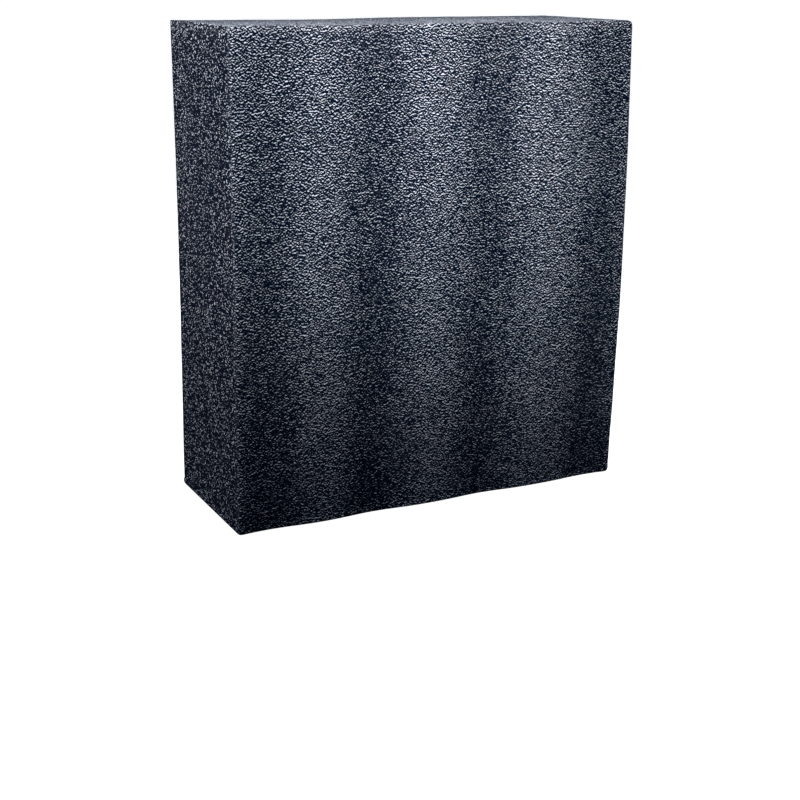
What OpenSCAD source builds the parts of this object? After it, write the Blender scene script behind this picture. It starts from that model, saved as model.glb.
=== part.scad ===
// Foam block, one piece sawn from an extruded closed-cell polyethylene plank.
//
// The plank was extruded along Z. Its two skins, front and back, are the broad
// faces and carry shallow hollows that run the whole height. The other four
// faces are saw cuts, and the block stands on one of them.
//
// Origin: middle of the bottom face. X is the width, Y runs from the front skin
// to the back skin, Z is up. All sizes are in millimetres.

/* [Block] */
// Width of the block, between its two cut sides
block_w = 203; // [80:1:600]
// Thickness of the plank, from the crests of one skin to those of the other
block_t = 76; // [25:1:150]
// Height of the block, along the direction of extrusion
block_h = 221; // [60:1:600]

/* [Skin waves] */
// Distance from one hollow to the next across a skin
wave_pitch = 57.5; // [40:0.5:150]
// Depth of a hollow below the crests beside it
wave_depth = 1.5; // [0.2:0.1:5]
// Width of a hollow, between the lines where it turns into a crest
hollow_w = 22; // [6:1:36]
// Distance from the left cut side to the first hollow
first_hollow = 13.5; // [0:0.5:75]

/* [Edges] */
// Radius of the four upright edges, where the skins meet the cut sides
skin_edge_r = 2; // [0.5:0.1:8]
// Radius of the edges around the top and bottom faces
cut_edge_r = 1.2; // [0.5:0.1:8]

/* [Look] */
// Colour of the foam
foam_color = "#2b2e36"; // [#2b2e36:Charcoal, #e9e9e6:White, #8f9399:Grey]

/* [Hidden] */

$fn = 96;

// Steepest slope of a skin, where hollow and crest meet on a common tangent
wave_slope = 2 * atan(2 * wave_depth / wave_pitch);
hollow_r = hollow_w / 2 / sin(wave_slope);
crest_r = (wave_pitch - hollow_w) / 2 / sin(wave_slope);

// Longest straight step along a curved skin
skin_step = 2.5;
skin_start = skin_edge_r;
skin_end = block_w - skin_edge_r;
skin_steps = ceil((skin_end - skin_start) / skin_step);

// How far a circle of radius r has fallen below its top, s away from it
function sagitta(r, s) = r - sqrt(r * r - s * s);

// Distance from x to the middle of the nearest hollow
function hollow_offset(x) =
    abs(x - first_hollow - wave_pitch * round((x - first_hollow) / wave_pitch));

// Depth of the skin below its crests at x, measured from the left cut side:
// hollows and crests are arcs that meet on their common tangents
function skin_depth(x) =
    let (s = hollow_offset(x))
    s < hollow_w / 2
        ? wave_depth - sagitta(hollow_r, s)
        : sagitta(crest_r, wave_pitch / 2 - s);

// Points of one skin, its crests at y = 0 and the foam on the +y side
function skin_points() = [
    for (i = [0 : skin_steps])
        let (x = skin_start + (skin_end - skin_start) * i / skin_steps)
        [x, skin_depth(x)]
];

// One half of the plank's section, from its skin to its middle. The corners are
// arcs that run into the skin where it is, whatever phase of the wave it is in.
module half_section() {
    left_y = skin_depth(skin_start) + skin_edge_r;
    right_y = skin_depth(skin_end) + skin_edge_r;
    polygon(concat(skin_points(), [[skin_end, block_t / 2], [skin_start, block_t / 2]]));
    translate([skin_start, left_y])
        circle(r = skin_edge_r);
    translate([skin_end, right_y])
        circle(r = skin_edge_r);
    polygon([[0, left_y], [block_w, right_y], [block_w, block_t / 2], [0, block_t / 2]]);
}

// Whole section of the plank, with its middle at the origin
module plank_section() {
    for (side = [0, 1])
        mirror([0, side])
            translate([-block_w / 2, -block_t / 2])
                half_section();
}

// Upright rectangle with rounded corners, standing on y = 0
module rounded_face(w, h, r) {
    translate([r - w / 2, 0])
        square([w - 2 * r, h]);
    translate([-w / 2, r])
        square([w, h - 2 * r]);
    for (x = [r - w / 2, w / 2 - r], y = [r, h - r])
        translate([x, y])
            circle(r = r);
}

// The plank's section run up to the block's height, its top and bottom edges
// eased by the outlines of the block seen from the front and from the side
module foam_block() {
    color(foam_color)
        intersection() {
            linear_extrude(height = block_h)
                plank_section();
            rotate([90, 0, 0])
                linear_extrude(height = block_t, center = true)
                    rounded_face(block_w, block_h, cut_edge_r);
            rotate([90, 0, 90])
                linear_extrude(height = block_w, center = true)
                    rounded_face(block_t, block_h, cut_edge_r);
        }
}

foam_block();
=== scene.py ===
"""The foam block's looks, in Blender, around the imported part. Lengths are in metres."""

import math

import bpy
import numpy as np
from mathutils import Matrix, Vector


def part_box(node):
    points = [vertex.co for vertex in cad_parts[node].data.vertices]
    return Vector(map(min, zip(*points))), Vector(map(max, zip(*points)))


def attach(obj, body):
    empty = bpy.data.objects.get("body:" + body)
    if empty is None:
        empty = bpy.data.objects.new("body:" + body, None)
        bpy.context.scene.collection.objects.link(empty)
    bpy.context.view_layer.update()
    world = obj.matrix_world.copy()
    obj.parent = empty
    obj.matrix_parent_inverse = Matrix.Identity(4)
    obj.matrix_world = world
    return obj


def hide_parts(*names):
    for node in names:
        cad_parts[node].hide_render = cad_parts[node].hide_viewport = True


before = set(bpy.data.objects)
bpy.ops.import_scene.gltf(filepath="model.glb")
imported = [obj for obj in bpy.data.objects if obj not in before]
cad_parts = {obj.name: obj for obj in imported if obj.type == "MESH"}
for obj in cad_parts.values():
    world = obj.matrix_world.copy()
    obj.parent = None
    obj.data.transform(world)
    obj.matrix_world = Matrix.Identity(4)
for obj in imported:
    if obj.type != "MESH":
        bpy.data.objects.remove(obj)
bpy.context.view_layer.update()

# The block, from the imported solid
LOW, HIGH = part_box("foam_block")
WIDTH, THICK, HEIGHT = HIGH - LOW

# Skin waves: hollows by their distance from the left cut side, and their form
HOLLOWS = (0.0152, 0.0689, 0.1272, 0.1886)
HOLLOW_DEPTH = 0.0015
HOLLOW_WIDTH = 0.022
# How far the hollows swing aside on their way up, and how fast they swing up and across
HOLLOW_WANDER = 0.0012
WANDER_UP = 0.05
WANDER_ACROSS = 0.08

# Upright edges, from the front left one round by the front right one
UPRIGHT_R = (0.0026, 0.0015, 0.0013, 0.0013)
# Edges around the top and bottom faces
CUT_EDGE_R = 0.001
# Extra ease of the edges that run front to back: lower left, upper left, lower right, upper right
END_R = ((0.0018, 0.0004), (0.0022, 0.0030))

# How far sawing and handling have left the block from true
SIDE_INSET = 0.0009
SKIN_INSET = 0.0004
BULGE_LEFT = 0.0005
LEAN_LEFT = 0.0003
BULGE_RIGHT = 0.0020
TOP_SLOPE = 0.00083
TOP_SAG = 0.00076
# Middle and spread of the top's sag, as shares of the width
SAG_AT = 0.33
SAG_SPREAD = 0.22

# Unevenness, and its layers of noise as (share, size, seed)
SAW_DRIFT = 0.0002
SAW_LAYERS = ((1.0, 0.045, 11), (0.5, 0.018, 12))
PEBBLE = 0.00009
PEBBLE_LAYERS = ((1.0, 0.004, 13), (0.6, 0.0024, 14))
NOISE_CELLS = 64

# Mesh steps
STEP = 0.00136
ARC_STEPS = 6

# Along the left upright edge the hollows' painted shade fades, most of all near the top
EDGE_REACH = 0.018
EDGE_FADE = 0.35
EDGE_FADE_TOP = 0.5

# Skin turns into cut side where the normal's part along Y lies between this and 1 minus this
SKIN_BLEND = 0.1
# A face looks up or down where its normal's upright part is over this
UPWARD = 0.7
# Painted light on the top face: its paleness at its back, what its front adds, and how that
# rises from back to front, in thicknesses, and falls from left to right
TOP_PAINTED_LIGHT = 0.62
FRONT_PAINTED_LIGHT = 0.80
FRONT_FROM = 0.3
FRONT_SPAN = 0.7
FRONT_FADE = 0.5
# Painted light on the rim below the top face: its paleness, and how far down it reaches
RIM_PAINTED_LIGHT = 0.3
RIM_REACH = 0.007

# Every grain is noise. Its SCALE is its cells per metre, and its STRETCH a factor on them
# along X, Y and Z. It is turned about those axes by GRAIN_TURN, so that no face lies along
# its lattice, and most of its values lie in GRAIN_RANGE.
GRAIN_TURN = (0.6, 0.5, 0.9)
GRAIN_RANGE = (0.35, 0.65)

# Skin: wrinkles with painted light on their upper sides and painted shade under them, from dark
# to pale where the grain falls through this range over this rise
WRINKLE_SCALE = 1450
WRINKLE_STRETCH = (0.9, 1.0, 1.0)
WRINKLE_RISE = 0.0003
FALL_RANGE = (0.070, 0.155)
# The painted shade that hollows, depth below the top and both together take from that fall,
# what chance patches take from it, and the painted light that the rim gives it
HOLLOW_SHADE_TAKES = 0.025
LOW_SHADE_TAKES = 0.029
LOW_HOLLOW_SHADE_TAKES = 0.03
PATCH_TAKES = 0.04
PATCH_SCALE = 70
PATCH_STRETCH = (1.0, 1.0, 0.7)
RIM_GIVES = 0.05
# Some wrinkles are paler than others, and hollows get a painted shade
GLINT_SCALE = 800
GLINT_STRETCH = (1.0, 1.0, 1.0)
GLINT_PALE = (0.6, 1.25)
HOLLOW_SHADE = 0.75

# Saw cuts: opened cells, with walls from dark to pale where the grain rises through this range
CELL_SCALE = 2100
CELL_STRETCH = (1.0, 0.40, 0.8)
CELL_RANGE = (0.63, 0.71)
# What painted light gives to the cells, and the painted shade that depth below the top takes from
# them
PAINTED_LIGHT_GIVES = 0.09
LOW_CELL_SHADE_TAKES = 0.012
# Some walls are paler than others
WALL_SCALE = 1300
WALL_STRETCH = (1.0, 0.6, 1.0)
WALL_POWER = 1.3
WALL_PALE = (0.5, 1.6)
# Fine grain between them, faint on the sides and clear where there is painted light
FINE_SCALE = 2000
FINE_STRETCH = (1.0, 0.6, 1.0)
FINE_RANGE = (0.42, 0.68)
FINE_POWER = 1.5
FINE_PALE = (0.018, 0.28)
# Mottle, only where there is painted light
MOTTLE_SCALE = 420
MOTTLE_STRETCH = (1.0, 0.7, 1.0)
MOTTLE_RANGE = (0.30, 0.70)
MOTTLE_PALE = (0.45, 1.7)

# The dark and the pale of the foam, on its skins and on its cuts
SKIN_COLORS = ((0.003, 0.009, 0.026, 1), (0.85, 0.89, 1.0, 1))
CUT_COLORS = ((0.003, 0.007, 0.021, 1), (0.85, 0.88, 1.0, 1))
ROUGHNESS = 0.5
SPECULAR = 0.0
BUMP_HEIGHT = 0.0008

# Floor: its half width, its colours to the light and to the eye, how far from the block's
# middle its dimmer glow, a faint painted shade, fades out, and the tone of that shade
FLOOR_REACH = 8.0
FLOOR_LIT = (0.05, 0.05, 0.05, 1)
FLOOR_SEEN = (0.8, 0.8, 0.8, 1)
SHADE_FADE = (0.2, 0.45)
SHADE_TONE = 0.93
WHITE = (1, 1, 1, 1)

# Light from all round, where 1 would be a white surrounding, and its tint
AMBIENT = 0.08
AMBIENT_TINT = (0.3, 0.6, 1.0, 1)

# Softboxes: name, place, target, size, power in watts, spread in degrees
LAMPS = (
    ("key", (-0.21, -0.89, 0.84), (0, -0.04, 0.249), (0.24, 0.26), 0.248, 12.8),
    ("left", (-0.50, -0.04, 0.46), (-0.10, 0, 0.24), (0.30, 0.30), 0.31, 60),
    ("right", (0.50, 0.16, 0.14), (0.10, 0.02, 0.13), (0.24, 0.16), 0.28, 70),
    ("back", (0.15, 0.58, 0.12), (0.02, 0, 0.12), (0.50, 0.20), 0.75, 80),
)

# Camera, in block heights from the lower front left corner, and in degrees
CAMERA_FROM_CORNER = (-0.9568, -2.5690, 1.1412)
CAMERA_AZIMUTH = 27.216
CAMERA_DOWN = 17.278
CAMERA_ROLL = 0.696
FOCAL_PX = 1459.7
FRAME_PX = 800
SENSOR_MM = 36


def smoothstep(t):
    t = np.clip(t, 0, 1)
    return t * t * (3 - 2 * t)


def value_noise(points, size, seed):
    """Smooth noise of about -1 to 1 at points, with lumps about size metres across."""
    rng = np.random.default_rng(seed)
    table = rng.uniform(-1, 1, (NOISE_CELLS, NOISE_CELLS, NOISE_CELLS))
    p = points / size + NOISE_CELLS / 2
    cell = np.floor(p).astype(int)
    t = smoothstep(p - cell)
    total = 0
    for corner in np.ndindex(2, 2, 2):
        index = (cell + corner) % NOISE_CELLS
        weight = np.prod(np.where(corner, t, 1 - t), axis=1)
        total = total + weight * table[index[:, 0], index[:, 1], index[:, 2]]
    return total


def dented(points, layers):
    """Layers of noise, moved down so that they only cut into the block."""
    total = sum(share * value_noise(points, size, seed) for share, size, seed in layers)
    return total - sum(share for share, _, _ in layers)


def skin_depth(x, z):
    """How far a skin lies below its crests: arcs for hollows and crests, with a slight wander."""
    wander = HOLLOW_WANDER * np.sin(z / WANDER_UP + x / WANDER_ACROSS)
    from_left = x + WIDTH / 2 + wander
    middles = np.array(HOLLOWS)
    before = 2 * middles[0] - middles[1]
    after = 2 * middles[-1] - middles[-2]
    all_middles = np.concatenate([[before], middles, [after]])
    nearest = np.abs(from_left[:, None] - all_middles).argmin(axis=1)
    s = np.abs(from_left - all_middles[nearest])
    pitch = np.diff(middles).mean()
    slope = 2 * math.atan(2 * HOLLOW_DEPTH / pitch)
    hollow_r = HOLLOW_WIDTH / 2 / math.sin(slope)
    crest_r = (pitch - HOLLOW_WIDTH) / 2 / math.sin(slope)
    to_crest = np.clip(pitch / 2 - s, 0, None)
    in_hollow = HOLLOW_DEPTH - (hollow_r - np.sqrt(np.clip(hollow_r**2 - s**2, 0, None)))
    on_crest = crest_r - np.sqrt(crest_r**2 - to_crest**2)
    return np.where(s < HOLLOW_WIDTH / 2, in_hollow, on_crest)


def plan_outline():
    """The block's plan as four sides that meet at the middles of the corner arcs.

    Each side is a list of (core point, outward angle, radius), and a point of the
    outline is its core point plus its radius in its outward direction."""
    signs = [(-1, -1), (1, -1), (1, 1), (-1, 1)]
    reach = [np.array([WIDTH / 2 - r, THICK / 2 - r]) for r in UPRIGHT_R]
    corners = [r * np.array(sign) for r, sign in zip(reach, signs)]
    half = ARC_STEPS // 2
    sides = []
    for k in range(4):
        start, end = corners[k], corners[(k + 1) % 4]
        start_r, end_r = UPRIGHT_R[k], UPRIGHT_R[(k + 1) % 4]
        facing = math.radians(-90 + 90 * k)
        steps = round((WIDTH, THICK)[k % 2] / STEP)
        turn = math.radians(45) * np.arange(half) / half
        side = [(start, facing - math.radians(45) + a, start_r) for a in turn]
        for i in range(steps):
            t = i / steps
            side.append((start + (end - start) * t, facing, start_r + (end_r - start_r) * t))
        side += [(end, facing + a, end_r) for a in turn]
        sides.append(side)
    return sides


def outline_points(sides, inset):
    """Four arrays of plan points, pulled in by inset. A side's last point starts the next."""
    arrays = []
    for side in sides:
        core = np.array([c for c, _, _ in side])
        angle = np.array([a for _, a, _ in side])
        reach = np.array([r for _, _, r in side]) - inset
        outward = np.stack([np.cos(angle), np.sin(angle)], axis=1)
        arrays.append(core + reach[:, None] * outward)
    return arrays


def ring_levels():
    """(height, inset) of each ring, from the bottom face's edge to the top face's edge."""
    turn = np.linspace(0, math.pi / 2, ARC_STEPS)
    low = [(CUT_EDGE_R * (1 - math.sin(a)), CUT_EDGE_R * (1 - math.cos(a))) for a in turn[::-1]]
    straight = HEIGHT - 2 * CUT_EDGE_R
    steps = round(straight / STEP)
    middle = [(CUT_EDGE_R + straight * i / steps, 0) for i in range(1, steps)]
    high = [(HEIGHT - z, inset) for z, inset in low[::-1]]
    return low + middle + high


def coons(bottom, right, top, left):
    """Grid of points inside four edges, each given in the direction of rising u or v."""
    u = np.linspace(0, 1, len(bottom))[:, None, None]
    v = np.linspace(0, 1, len(left))[None, :, None]
    ruled_v = (1 - v) * bottom[:, None] + v * top[:, None]
    ruled_u = (1 - u) * left[None] + u * right[None]
    corners = (
        (1 - u) * (1 - v) * bottom[0]
        + u * (1 - v) * bottom[-1]
        + (1 - u) * v * top[0]
        + u * v * top[-1]
    )
    return ruled_v + ruled_u - corners


def wall_quads(ring_count, count):
    """Quads between rings of count vertices each."""
    here = np.arange(count)
    after = (here + 1) % count
    quads = []
    for level in range(ring_count - 1):
        low, high = level * count, (level + 1) * count
        quads.append(np.stack([here + low, after + low, after + high, here + high], axis=1))
    return quads


def cap_grid(flat, starts, ring_start, first, is_top):
    """Plan points inside a ring and the quads that close it, with new vertices from first on."""
    loop = ring_start + np.arange(starts[-1])
    closed = np.append(loop, loop[0])
    edges = [closed[starts[k] : starts[k + 1] + 1] for k in range(4)]
    bottom, right, top, left = edges[0], edges[1], edges[2][::-1], edges[3][::-1]
    inner = coons(flat[bottom], flat[right], flat[top], flat[left])
    index = np.full(inner.shape[:2], -1)
    index[:, 0], index[:, -1] = bottom, top
    index[0, :], index[-1, :] = left, right
    new = index < 0
    index[new] = first + np.arange(new.sum())
    a, b, c, d = index[:-1, :-1], index[1:, :-1], index[1:, 1:], index[:-1, 1:]
    order = (a, b, c, d) if is_top else (a, d, c, b)
    return inner[new], np.stack([q.ravel() for q in order], axis=1)


def block_grid():
    """Vertices and quads of a rounded block with its bottom at z = 0."""
    sides = plan_outline()
    rings = []
    for z, inset in ring_levels():
        plan = np.concatenate(outline_points(sides, inset))
        rings.append(np.column_stack([plan, np.full(len(plan), z)]))
    count = len(rings[0])
    starts = np.cumsum([0] + [len(s) for s in sides])
    vertices = [np.concatenate(rings)]
    quads = wall_quads(len(rings), count)
    flat = vertices[0][:, :2]
    for is_top in (False, True):
        ring_start = (len(rings) - 1) * count if is_top else 0
        first = sum(len(v) for v in vertices)
        plan, cap = cap_grid(flat, starts, ring_start, first, is_top)
        vertices.append(np.column_stack([plan, np.full(len(plan), HEIGHT if is_top else 0)]))
        quads.append(cap)
    return np.concatenate(vertices), np.concatenate(quads)


def skin_share(normals):
    """1 on the skins, 0 on the cuts, and a blend between them round the upright edges."""
    return smoothstep((np.abs(normals[:, 1]) - SKIN_BLEND) / (1 - 2 * SKIN_BLEND))


def waved(y, depth):
    """y drawn in to the waved skins."""
    return y * (1 - 2 * (depth + SKIN_INSET) / THICK)


def end_ease(x, z):
    """How far the bottom and top turn inward near the cut sides."""
    total = 0
    for left, radii in ((True, END_R[0]), (False, END_R[1])):
        for is_top, radius in zip((False, True), radii):
            away = x + WIDTH / 2 if left else WIDTH / 2 - x
            turn = np.clip(1 - away / radius, 0, 1)
            drop = radius * (1 - np.sqrt(1 - turn**2))
            height = z / HEIGHT if is_top else z / HEIGHT - 1
            total = total - drop * height
    return total


def off_true(points, normals, depth, skin):
    """The rounded block's points, waved on its skins and slightly off true."""
    x, y, z = points.T.copy()
    rise = 2 * z / HEIGHT - 1
    across = x / WIDTH + 0.5
    y = waved(y, depth)
    x = x * (1 - 2 * SIDE_INSET / WIDTH) - BULGE_RIGHT * across * rise**2
    x = x + (BULGE_LEFT * (1 - rise**2) + LEAN_LEFT * rise) * (1 - across)
    sag = TOP_SAG * np.exp(-(((across - SAG_AT) / SAG_SPREAD) ** 2))
    low = (TOP_SLOPE + sag) * (y / THICK + 0.5) * smoothstep(rise)
    sawn = SAW_DRIFT * dented(points, SAW_LAYERS) * np.where(z > CUT_EDGE_R, 1, 0)
    out = sawn + PEBBLE * dented(points, PEBBLE_LAYERS) * skin
    ease = end_ease(points[:, 0], z)
    moved = np.column_stack([x, y, z - low + ease]) + normals * out[:, None]
    moved[:, 2] = np.clip(moved[:, 2], 0, HEIGHT)
    return moved


def marks(points, normals, depth, skin):
    """What the material needs to know at each vertex, mostly from 0 to 1.

    Painted light is the paleness painted on the top face and on the rim below it, and may pass 1."""
    x, y, z = points.T
    rise = 2 * z / HEIGHT - 1
    across = x / WIDTH + 0.5
    # The hollows' painted shade, faded near the left upright edge
    near_edge = np.exp(-((across * WIDTH / EDGE_REACH) ** 2))
    fade = (EDGE_FADE + EDGE_FADE_TOP * smoothstep(rise)) * near_edge
    # Painted light on the top face, paler towards its front, and on the rim below it
    front = smoothstep((FRONT_FROM - waved(y, depth) / THICK) / FRONT_SPAN)
    top = TOP_PAINTED_LIGHT + FRONT_PAINTED_LIGHT * front * (1 - FRONT_FADE * across)
    rim = (RIM_PAINTED_LIGHT + skin * (1 - across)) * smoothstep((z - HEIGHT + RIM_REACH) / RIM_REACH)
    return {
        "skin": skin,
        "hollow": depth / HOLLOW_DEPTH * (1 - fade),
        "painted_light": np.where(np.abs(normals[:, 2]) > UPWARD, top, rim),
        "low_shading": 1 - z / HEIGHT,
    }


def foam_mesh():
    points, quads = block_grid()
    mesh = bpy.data.meshes.new("foam_block_skin")
    mesh.from_pydata(points.tolist(), [], quads.tolist())
    normals = np.empty(len(points) * 3)
    mesh.vertices.foreach_get("normal", normals)
    normals = normals.reshape(-1, 3)
    depth = skin_depth(points[:, 0], points[:, 2])
    skin = skin_share(normals)
    mesh.vertices.foreach_set("co", off_true(points, normals, depth, skin).ravel())
    for name, values in marks(points, normals, depth, skin).items():
        mesh.attributes.new(name, "FLOAT", "POINT").data.foreach_set("value", values)
    mesh.polygons.foreach_set("use_smooth", [True] * len(quads))
    mesh.update()
    return mesh


class Graph:
    """Short calls for the nodes of a material or world."""

    def __init__(self, owner):
        owner.use_nodes = True
        self.tree = owner.node_tree
        self.tree.nodes.clear()

    def node(self, kind, inputs=None, **settings):
        made = self.tree.nodes.new(kind)
        for name, value in settings.items():
            setattr(made, name, value)
        for name, value in (inputs or {}).items():
            self.put(made.inputs[name], value)
        return made

    def put(self, socket, value):
        if isinstance(value, bpy.types.NodeSocket):
            self.tree.links.new(value, socket)
        else:
            socket.default_value = value

    def math(self, operation, a, b, clamp=False):
        made = self.node("ShaderNodeMath", {0: a, 1: b}, operation=operation, use_clamp=clamp)
        return made.outputs[0]

    def times(self, a, b, clamp=False):
        return self.math("MULTIPLY", a, b, clamp)

    def plus(self, a, b):
        return self.math("ADD", a, b)

    def minus(self, a, b):
        return self.math("SUBTRACT", a, b)

    def mix(self, fac, a, b):
        """A mix of two colours. The mix node's colours are its inputs 6 and 7 and output 2."""
        return self.node("ShaderNodeMix", {0: fac, 6: a, 7: b}, data_type="RGBA").outputs[2]

    def mix_value(self, fac, a, b):
        """A mix of two numbers, which are the mix node's inputs 2 and 3 and output 0."""
        return self.node("ShaderNodeMix", {0: fac, 2: a, 3: b}, data_type="FLOAT").outputs[0]

    def mark(self, name):
        return self.node("ShaderNodeAttribute", attribute_name=name).outputs["Fac"]

    def place(self):
        return self.node("ShaderNodeTexCoord").outputs["Object"]

    def above(self, where, rise):
        inputs = {0: where, 1: (0, 0, rise)}
        return self.node("ShaderNodeVectorMath", inputs, operation="ADD").outputs["Vector"]

    def grain(self, where, stretch, scale):
        """Noise of about 0 to 1, turned off the block's axes."""
        inputs = {"Vector": where, "Scale": stretch, "Rotation": GRAIN_TURN}
        turned = self.node("ShaderNodeMapping", inputs).outputs["Vector"]
        inputs = {"Vector": turned, "Scale": scale, "Detail": 0.0}
        return self.node("ShaderNodeTexNoise", inputs).outputs["Fac"]

    def lifted(self, value, low, high, power=1.0):
        """0 below low, 1 above high, and a curve between them."""
        inputs = {"Value": value, "From Min": low, "From Max": high}
        t = self.node("ShaderNodeMapRange", inputs).outputs["Result"]
        return self.math("POWER", t, power)

    def finish(self, kind, shader):
        out = self.node(kind)
        self.tree.links.new(shader.outputs[0], out.inputs["Surface"])


def skin_paleness(g, where, hollow, painted_light, low_shading):
    """Closed cells under a thin film: the height of its wrinkles, and their painted light and
    shade.
    """
    wrinkle = g.grain(where, WRINKLE_STRETCH, WRINKLE_SCALE)
    higher = g.grain(g.above(where, WRINKLE_RISE), WRINKLE_STRETCH, WRINKLE_SCALE)
    patch = g.minus(g.grain(where, PATCH_STRETCH, PATCH_SCALE), 0.5)
    # Painted shade in the hollows and low down, taken from the paleness
    taken = g.plus(g.times(hollow, HOLLOW_SHADE_TAKES), g.times(low_shading, LOW_SHADE_TAKES))
    taken = g.plus(taken, g.times(g.times(hollow, low_shading), LOW_HOLLOW_SHADE_TAKES))
    taken = g.plus(taken, g.times(patch, PATCH_TAKES))
    # Painted light: pale where the wrinkle falls going up, so that its upper sides look lit
    fall = g.minus(g.minus(wrinkle, higher), g.minus(taken, g.times(painted_light, RIM_GIVES)))
    glint = g.lifted(g.grain(where, GLINT_STRETCH, GLINT_SCALE), *GRAIN_RANGE)
    pale = g.times(g.lifted(fall, *FALL_RANGE), g.mix_value(glint, *GLINT_PALE))
    return pale, wrinkle


def cut_paleness(g, where, painted_light, low_shading):
    """Cells opened by the saw: the paleness and height of their walls, with painted light and
    shade.
    """
    cell = g.grain(where, CELL_STRETCH, CELL_SCALE)
    # Painted light makes the top's cells paler, and painted shade darkens them low down
    cell = g.plus(cell, g.times(painted_light, PAINTED_LIGHT_GIVES))
    cell = g.minus(cell, g.times(low_shading, LOW_CELL_SHADE_TAKES))
    wall = g.lifted(g.grain(where, WALL_STRETCH, WALL_SCALE), *GRAIN_RANGE, WALL_POWER)
    pale = g.times(g.lifted(cell, *CELL_RANGE), g.mix_value(wall, *WALL_PALE))
    fine = g.lifted(g.grain(where, FINE_STRETCH, FINE_SCALE), *FINE_RANGE, FINE_POWER)
    pale = g.plus(pale, g.times(fine, g.mix_value(painted_light, *FINE_PALE)))
    mottle = g.lifted(g.grain(where, MOTTLE_STRETCH, MOTTLE_SCALE), *MOTTLE_RANGE)
    mottle = g.mix_value(painted_light, 1.0, g.mix_value(mottle, *MOTTLE_PALE))
    return g.times(pale, mottle, clamp=True), cell


def foam_material():
    material = bpy.data.materials.new("charcoal_foam")
    g = Graph(material)
    where = g.place()
    skin, hollow, painted_light, low_shading = map(g.mark, ("skin", "hollow", "painted_light", "low_shading"))
    skin_pale, wrinkle = skin_paleness(g, where, hollow, painted_light, low_shading)
    cut_pale, cell = cut_paleness(g, where, painted_light, low_shading)
    color = g.mix(skin, g.mix(cut_pale, *CUT_COLORS), g.mix(skin_pale, *SKIN_COLORS))
    # Painted shade: the skin is darker in its hollows
    shade = g.mix_value(g.times(hollow, skin), 1.0, HOLLOW_SHADE)
    inputs = {0: color, "Scale": shade}
    shaded = g.node("ShaderNodeVectorMath", inputs, operation="SCALE").outputs["Vector"]
    inputs = {"Height": g.mix_value(skin, cell, wrinkle), "Distance": BUMP_HEIGHT, "Strength": 1.0}
    bump = g.node("ShaderNodeBump", inputs).outputs["Normal"]
    inputs = {
        "Base Color": shaded,
        "Roughness": ROUGHNESS,
        "Specular IOR Level": SPECULAR,
        "Normal": bump,
    }
    g.finish("ShaderNodeOutputMaterial", g.node("ShaderNodeBsdfPrincipled", inputs))
    return material


def foam_piece():
    piece = bpy.data.objects.new("foam_block_body", foam_mesh())
    bpy.context.scene.collection.objects.link(piece)
    piece.data.materials.append(foam_material())
    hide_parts("foam_block")
    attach(piece, "root")


def seen_rays(g):
    """1 for rays that show the background: from the camera, a reflection or a refraction."""
    rays = g.node("ShaderNodeLightPath")
    seen = g.math("MAXIMUM", rays.outputs["Is Camera Ray"], rays.outputs["Is Glossy Ray"])
    return g.math("MAXIMUM", seen, rays.outputs["Is Transmission Ray"])


def floor_material():
    """Pale paper, white to the eye but for the object's shadow and a faint painted shade round it.
    """
    material = bpy.data.materials.new("pale_floor")
    g = Graph(material)
    seen = seen_rays(g)
    away = g.node("ShaderNodeVectorMath", {0: g.place()}, operation="LENGTH").outputs["Value"]
    near, far = SHADE_FADE
    inputs = {"Value": away, "From Min": near, "From Max": far, "To Min": SHADE_TONE, "To Max": 1.0}
    # Painted shade: the floor's glow is dimmer near the block
    tone = g.node("ShaderNodeMapRange", inputs).outputs["Result"]
    paper = g.node("ShaderNodeBsdfDiffuse", {"Color": g.mix(seen, FLOOR_LIT, FLOOR_SEEN)})
    glow = g.node("ShaderNodeEmission", {"Color": WHITE, "Strength": g.times(tone, seen)})
    both = g.node("ShaderNodeAddShader", {0: paper.outputs[0], 1: glow.outputs[0]})
    g.finish("ShaderNodeOutputMaterial", both)
    return material


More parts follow.
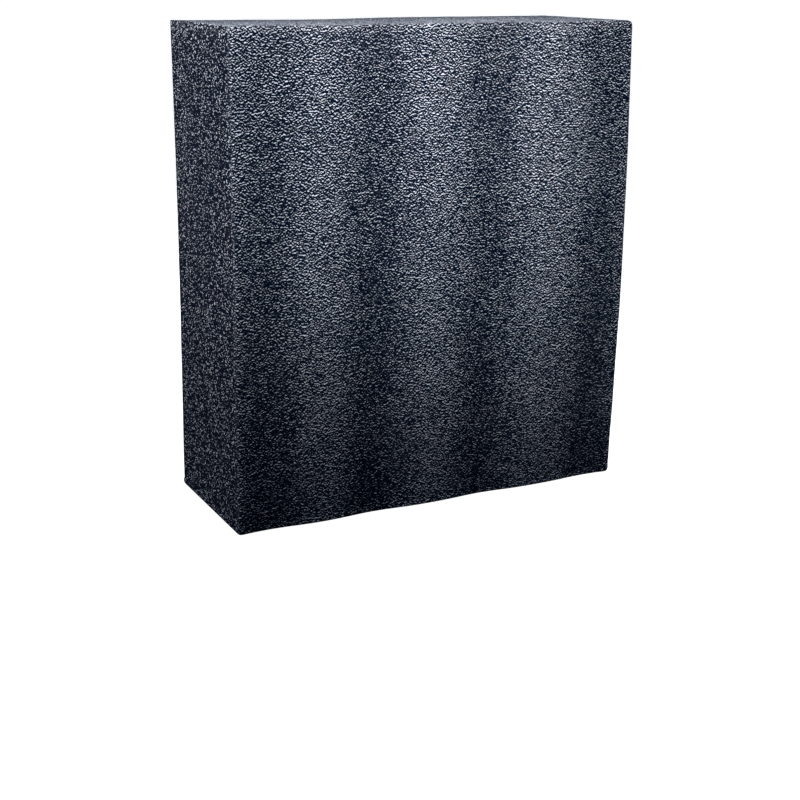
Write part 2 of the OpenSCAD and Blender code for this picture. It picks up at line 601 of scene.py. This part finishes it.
def make_floor():
    mesh = bpy.data.meshes.new("floor")
    reach = FLOOR_REACH
    corners = [(-reach, -reach, 0), (reach, -reach, 0), (reach, reach, 0), (-reach, reach, 0)]
    mesh.from_pydata(corners, [], [(0, 1, 2, 3)])
    floor = bpy.data.objects.new("floor", mesh)
    bpy.context.scene.collection.objects.link(floor)
    mesh.materials.append(floor_material())


def make_world():
    world = bpy.data.worlds.new("studio")
    bpy.context.scene.world = world
    g = Graph(world)
    seen = seen_rays(g)
    tint = g.mix(seen, AMBIENT_TINT, WHITE)
    strength = g.mix_value(seen, AMBIENT, 1.0)
    sky = g.node("ShaderNodeBackground", {"Color": tint, "Strength": strength})
    g.finish("ShaderNodeOutputWorld", sky)


def softbox(name, place, target, size, power, spread):
    light = bpy.data.lights.new(name, "AREA")
    light.shape = "RECTANGLE"
    light.size, light.size_y = size
    light.energy = power
    light.spread = math.radians(spread)
    lamp = bpy.data.objects.new(name, light)
    bpy.context.scene.collection.objects.link(lamp)
    lamp.location = place
    lamp.rotation_euler = (Vector(target) - Vector(place)).to_track_quat("-Z", "Y").to_euler()
    lamp.visible_camera = False


def make_camera():
    azimuth, down, roll = map(math.radians, (CAMERA_AZIMUTH, CAMERA_DOWN, CAMERA_ROLL))
    ahead = Vector(
        (math.sin(azimuth) * math.cos(down), math.cos(azimuth) * math.cos(down), -math.sin(down))
    )
    level = Vector((math.cos(azimuth), -math.sin(azimuth), 0))
    above = level.cross(ahead)
    right = level * math.cos(roll) + above * math.sin(roll)
    up = above * math.cos(roll) - level * math.sin(roll)
    data = bpy.data.cameras.new("camera")
    data.sensor_width = SENSOR_MM
    data.lens = FOCAL_PX / FRAME_PX * SENSOR_MM
    camera = bpy.data.objects.new("camera", data)
    bpy.context.scene.collection.objects.link(camera)
    turn = Matrix((right, up, -ahead)).transposed().to_4x4()
    place = LOW + Vector(CAMERA_FROM_CORNER) * HEIGHT
    camera.matrix_world = Matrix.Translation(place) @ turn
    bpy.context.scene.camera = camera


make_camera()
foam_piece()
make_floor()
make_world()
for lamp in LAMPS:
    softbox(*lamp)
bpy.context.scene.view_settings.view_transform = "Standard"
